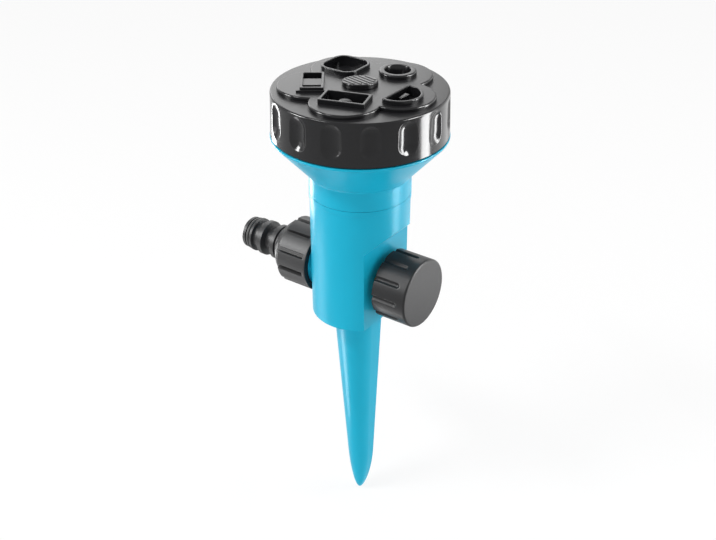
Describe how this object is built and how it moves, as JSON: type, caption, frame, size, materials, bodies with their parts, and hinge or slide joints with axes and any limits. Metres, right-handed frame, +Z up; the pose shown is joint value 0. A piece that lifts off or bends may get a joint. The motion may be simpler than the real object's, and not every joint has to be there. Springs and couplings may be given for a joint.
{
  "type": "multi-pattern spike sprinkler",
  "caption": "Round garden sprinkler on a ground spike, with a turret dial of spray shapes, a flow knob and a quick-connect hose spigot.",
  "frame": {"origin": "on the dial's axis at the valve body's underside, where the body rests on the ground", "axes": "+Z up along the dial's axis, +X from the body toward the flow knob, -X toward the hose spigot"},
  "size_m": [0.1082, 0.0808, 0.2298],
  "materials": {
    "dial_black": "glossy moulded plastic",
    "cover_black": "glossy moulded plastic",
    "knob_black": "satin moulded plastic",
    "connector_black": "satin moulded plastic",
    "head_blue": "smooth moulded plastic",
    "body_blue": "smooth moulded plastic",
    "spike_blue": "smooth moulded plastic",
    "acetal": "natural white acetal",
    "rubber": "black rubber",
    "brass": "turned brass",
    "steel": "bright steel"
  },
  "bodies": {
    "base": {"head_housing": "head_blue", "valve_body": "body_blue", "ground_spike": "spike_blue", "hose_connector": "connector_black", "spigot_o_ring": "rubber", "inlet_washer": "rubber", "riser_o_ring": "rubber", "gland_nut": "brass", "gland_o_ring": "rubber", "dial_screw": "steel", "dial_washer": "steel", "seal_spring": "steel", "detent_spring": "steel"},
    "dial": {"turret_dial": "dial_black", "screw_cover": "cover_black", "port_disc": "acetal"},
    "jumper": {"valve_jumper": "brass", "valve_washer": "rubber"},
    "spindle": {"valve_spindle": "brass", "spindle_o_ring": "rubber", "flow_knob": "knob_black"},
    "click_pin": {"detent_pin": "acetal"},
    "seal": {"outlet_seal": "rubber"}
  },
  "joints": [
    {"name": "dial_turn", "type": "hinge", "parent": "base", "child": "dial", "pos_m": [0, 0, 0.0921], "axis": [0, 0, 1], "continuous": true},
    {"name": "flow_travel", "type": "slide", "parent": "base", "child": "jumper", "axis": [1, 0, 0], "range_m": [-0.0025, 0.0015]},
    {"name": "flow_turn", "type": "hinge", "parent": "jumper", "child": "spindle", "pos_m": [0, 0, 0.0196], "axis": [1, 0, 0], "range_deg": [-450, 270]},
    {"name": "click_press", "type": "slide", "parent": "base", "child": "click_pin", "axis": [0, 0, 1], "range_m": [-0.0012, 0], "stiffness_N_per_m": 300, "springref_m": 0.002, "deforming": ["detent_spring"]},
    {"name": "seal_press", "type": "slide", "parent": "base", "child": "seal", "axis": [0, 0, 1], "range_m": [-0.0006, 0], "stiffness_N_per_m": 400, "springref_m": 0.002, "deforming": ["seal_spring"]}
  ],
  "couplings": [
    {"joint": "flow_travel", "follows": "flow_turn", "m_per_rad": 0.00031831}
  ]
}
